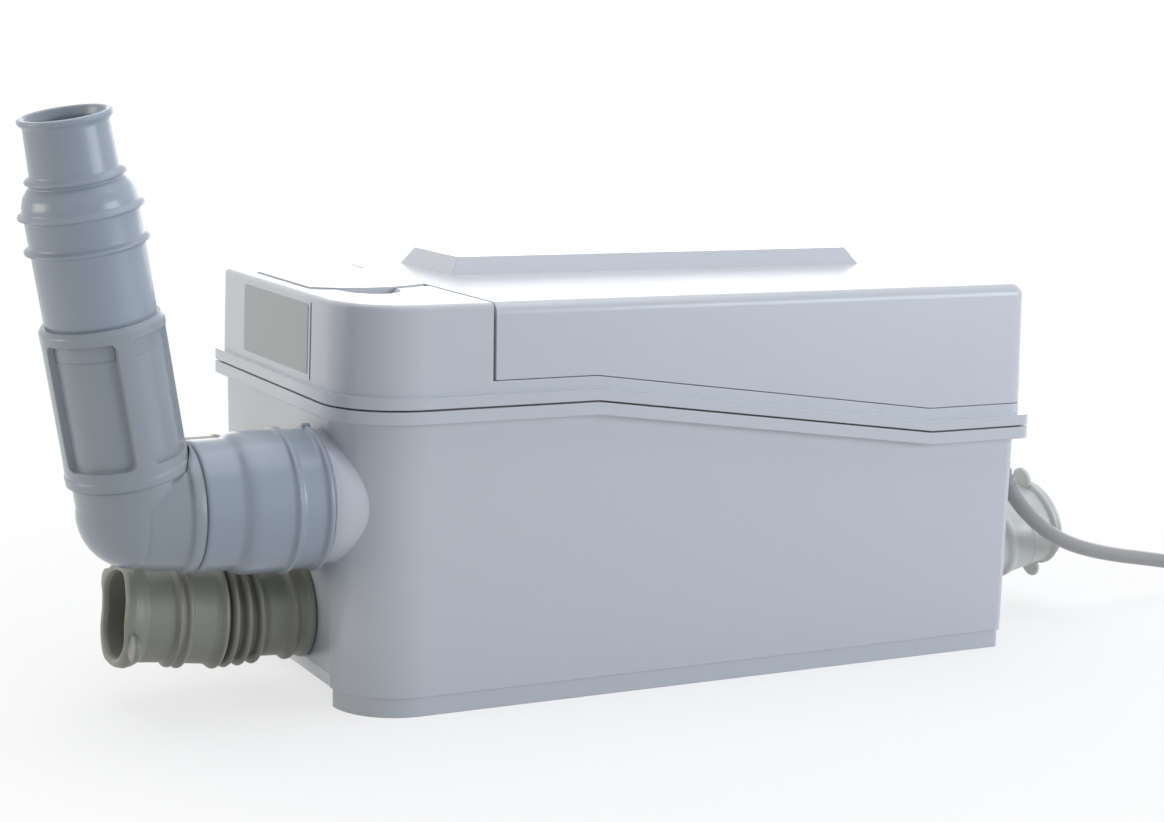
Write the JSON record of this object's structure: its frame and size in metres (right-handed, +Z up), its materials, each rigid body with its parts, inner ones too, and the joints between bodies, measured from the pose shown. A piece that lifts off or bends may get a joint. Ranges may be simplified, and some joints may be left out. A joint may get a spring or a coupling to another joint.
{
  "type": "sewage lifting unit",
  "caption": "Small grey-water lifting unit: tank with lid and motor cover, side inlets, discharge elbow with non-return valve, and a mains cord.",
  "frame": {"origin": "centre of the tank's underside, on the face that it stands on", "axes": "+X along the long side, from the discharge end to the blanked inlet's end; +Y to the back; +Z up"},
  "size_m": [0.7993, 0.155, 0.2243],
  "materials": {
    "tank": "glossy moulded, off-white",
    "outlet": "satin moulded, blue-grey",
    "outlet_rubber": "satin soft sleeve, blue-grey",
    "inlet_rubber": "matte soft sleeve, warm grey",
    "inlet_rubber_light": "matte soft sleeve, pale warm grey",
    "seal": "matte black rubber",
    "cord": "smooth pale grey sheath",
    "grey_plastic": "matte moulded",
    "dark_plastic": "matte moulded",
    "hose": "matte hose",
    "carbon": "matte black cartridge",
    "steel": "brushed",
    "laminate": "stacked sheet, dull",
    "aluminium": "cast, satin",
    "copper": "lacquered wire, stands in for copper",
    "brass": "plain"
  },
  "bodies": {
    "housing": {"tank": "tank", "tank_lid": "tank", "lid_seal": "seal", "motor_shell": "steel", "motor_top_shield": "aluminium", "motor_screws": "steel", "lower_bearing": "steel", "upper_bearing": "steel", "stator": "laminate", "lower_winding": "copper", "upper_winding": "copper", "shaft_seal": "seal", "pump_column": "grey_plastic", "pump_casing": "grey_plastic", "suction_plate": "grey_plastic", "inner_discharge_pipe": "hose", "air_bell": "grey_plastic", "switch_base": "grey_plastic", "switch_diaphragm": "seal", "switch_top": "grey_plastic", "microswitch": "dark_plastic", "capacitor": "aluminium", "terminal_block": "grey_plastic", "lid_screws": "steel", "discharge_sleeve": "outlet_rubber", "inlet_pin_left": "steel", "inlet_pin_right": "steel", "inlet_pin_upper": "steel", "inlet_sleeve_left": "inlet_rubber", "inlet_sleeve_right": "inlet_rubber_light", "cord_gland": "cord", "mains_cord": "cord", "mains_cord_coil": "cord", "mains_cord_tail": "cord", "plug_body": "cord", "plug_pins": "brass"},
    "motor_cover": {"motor_cover": "tank"},
    "access_cap": {"access_cap": "tank"},
    "carbon_filter": {"carbon_filter": "carbon"},
    "pump_rotor": {"rotor": "laminate", "motor_shaft": "steel", "impeller": "grey_plastic"},
    "outlet_elbow": {"discharge_elbow": "outlet", "valve_body": "outlet", "valve_hinge_pin": "steel", "reducer_sleeve": "outlet_rubber"},
    "valve_flap": {"valve_flap": "seal"},
    "inlet_flap_left": {"inlet_flap_left": "seal"},
    "inlet_flap_right": {"inlet_flap_right": "seal"},
    "inlet_flap_upper": {"inlet_flap_upper": "seal"},
    "blanking_plug": {"blanking_plug": "inlet_rubber_light"},
    "upper_inlet_cap": {"upper_inlet_cap": "inlet_rubber"},
    "switch_plunger": {"switch_plunger": "grey_plastic"}
  },
  "joints": [
    {"name": "cover_lift", "type": "slide", "parent": "housing", "child": "motor_cover", "axis": [0, 0, 1], "range_m": [0, 0.07]},
    {"name": "cap_lift", "type": "slide", "parent": "housing", "child": "access_cap", "axis": [0, 0, 1], "range_m": [0, 0.08]},
    {"name": "filter_lift", "type": "slide", "parent": "housing", "child": "carbon_filter", "axis": [0, 0, 1], "range_m": [0, 0.04]},
    {"name": "pump_spin", "type": "hinge", "parent": "housing", "child": "pump_rotor", "pos_m": [0.045, -0.011, 0.08], "axis": [0, 0, 1], "continuous": true},
    {"name": "elbow_swivel", "type": "hinge", "parent": "housing", "child": "outlet_elbow", "pos_m": [-0.2, -0.041, 0.0795], "axis": [1, 0, 0], "range_deg": [-60, 90]},
    {"name": "valve_swing", "type": "hinge", "parent": "outlet_elbow", "child": "valve_flap", "pos_m": [-0.24057, -0.04425, 0.12277], "axis": [0, -0.9972, -0.075], "range_deg": [0, 60]},
    {"name": "left_inlet_swing", "type": "hinge", "parent": "housing", "child": "inlet_flap_left", "pos_m": [-0.1382, -0.015, 0.0485], "axis": [0, -1, 0], "range_deg": [0, 60]},
    {"name": "right_inlet_swing", "type": "hinge", "parent": "housing", "child": "inlet_flap_right", "pos_m": [0.1382, -0.015, 0.0485], "axis": [0, 1, 0], "range_deg": [0, 60]},
    {"name": "upper_inlet_swing", "type": "hinge", "parent": "housing", "child": "inlet_flap_upper", "pos_m": [-0.1382, 0.038, 0.0874], "axis": [0, -1, 0], "range_deg": [0, 60]},
    {"name": "plug_pull", "type": "slide", "parent": "housing", "child": "blanking_plug", "axis": [0.9653, 0.0337, 0.2588], "range_m": [0, 0.04]},
    {"name": "upper_cap_pull", "type": "slide", "parent": "housing", "child": "upper_inlet_cap", "axis": [-1, 0, 0], "range_m": [0, 0.05]},
    {"name": "plunger_rise", "type": "slide", "parent": "housing", "child": "switch_plunger", "axis": [0, 0, 1], "range_m": [0, 0.0025], "stiffness_N_per_m": 150, "springref_m": -0.0005}
  ],
  "couplings": [
    {"joint": "filter_lift", "follows": "cap_lift", "ratio": 0.5}
  ]
}
